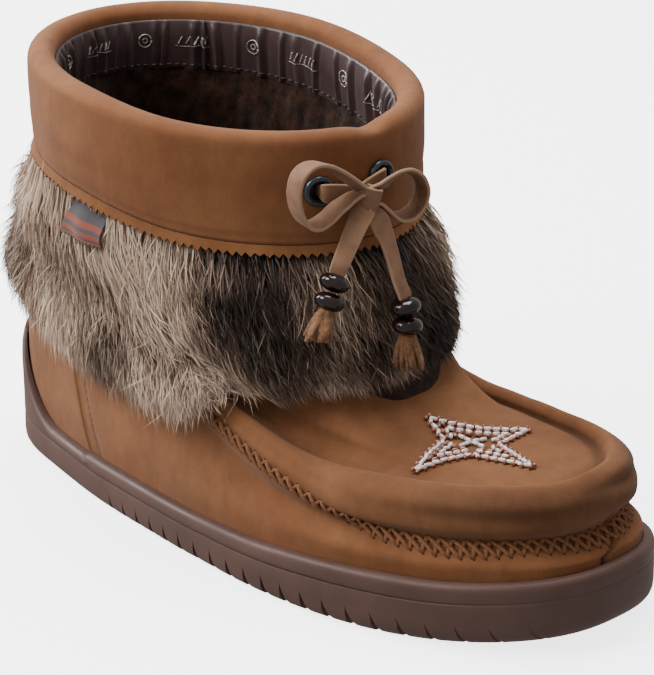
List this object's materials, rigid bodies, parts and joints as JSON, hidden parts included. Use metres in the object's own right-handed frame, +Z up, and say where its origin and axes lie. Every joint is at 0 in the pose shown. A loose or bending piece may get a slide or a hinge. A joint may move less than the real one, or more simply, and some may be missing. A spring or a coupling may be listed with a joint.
{
  "type": "mukluk boot",
  "caption": "Short right mukluk boot: moccasin-toe suede upper on a rubber cup sole, fur cuff, folded padded collar, bow-tied thong with beads and a beaded star.",
  "frame": {"origin": "on the floor under the centre of the heel, at the heel's flat rest face", "axes": "+X along the sole to the toe, +Y to the inner side of the right foot, +Z up"},
  "size_m": [0.2833, 0.1252, 0.161],
  "materials": {
    "sole_rubber": "satin moulded rubber",
    "suede": "napped suede",
    "insole_felt": "matte felt",
    "fur": "long soft hair",
    "collar_suede": "smooth suede",
    "trim_suede": "pinked suede edge",
    "label_cloth": "woven tape",
    "star_beads": "glass-like beads",
    "eyelet_metal": "dark enamel",
    "thong_leather": "flat suede thong",
    "bead_horn": "polished dark wood",
    "tuft_hide": "frayed hide"
  },
  "bodies": {
    "root": {"outsole": "sole_rubber", "insole": "insole_felt", "upper": "suede", "fur_cuff": "fur", "collar": "collar_suede", "pinked_trim": "trim_suede", "side_label": "label_cloth", "bead_star": "star_beads", "eyelet_left": "eyelet_metal", "eyelet_right": "eyelet_metal", "lace_bar": "thong_leather", "lace_knot": "thong_leather", "bow_loop_left": "thong_leather", "bow_loop_right": "thong_leather", "lace_tail_left": "thong_leather", "lace_tail_right": "thong_leather", "bead_left_upper": "bead_horn", "bead_left_lower": "bead_horn", "bead_right_upper": "bead_horn", "bead_right_lower": "bead_horn", "tuft_left": "tuft_hide", "tuft_right": "tuft_hide"}
  },
  "joints": []
}
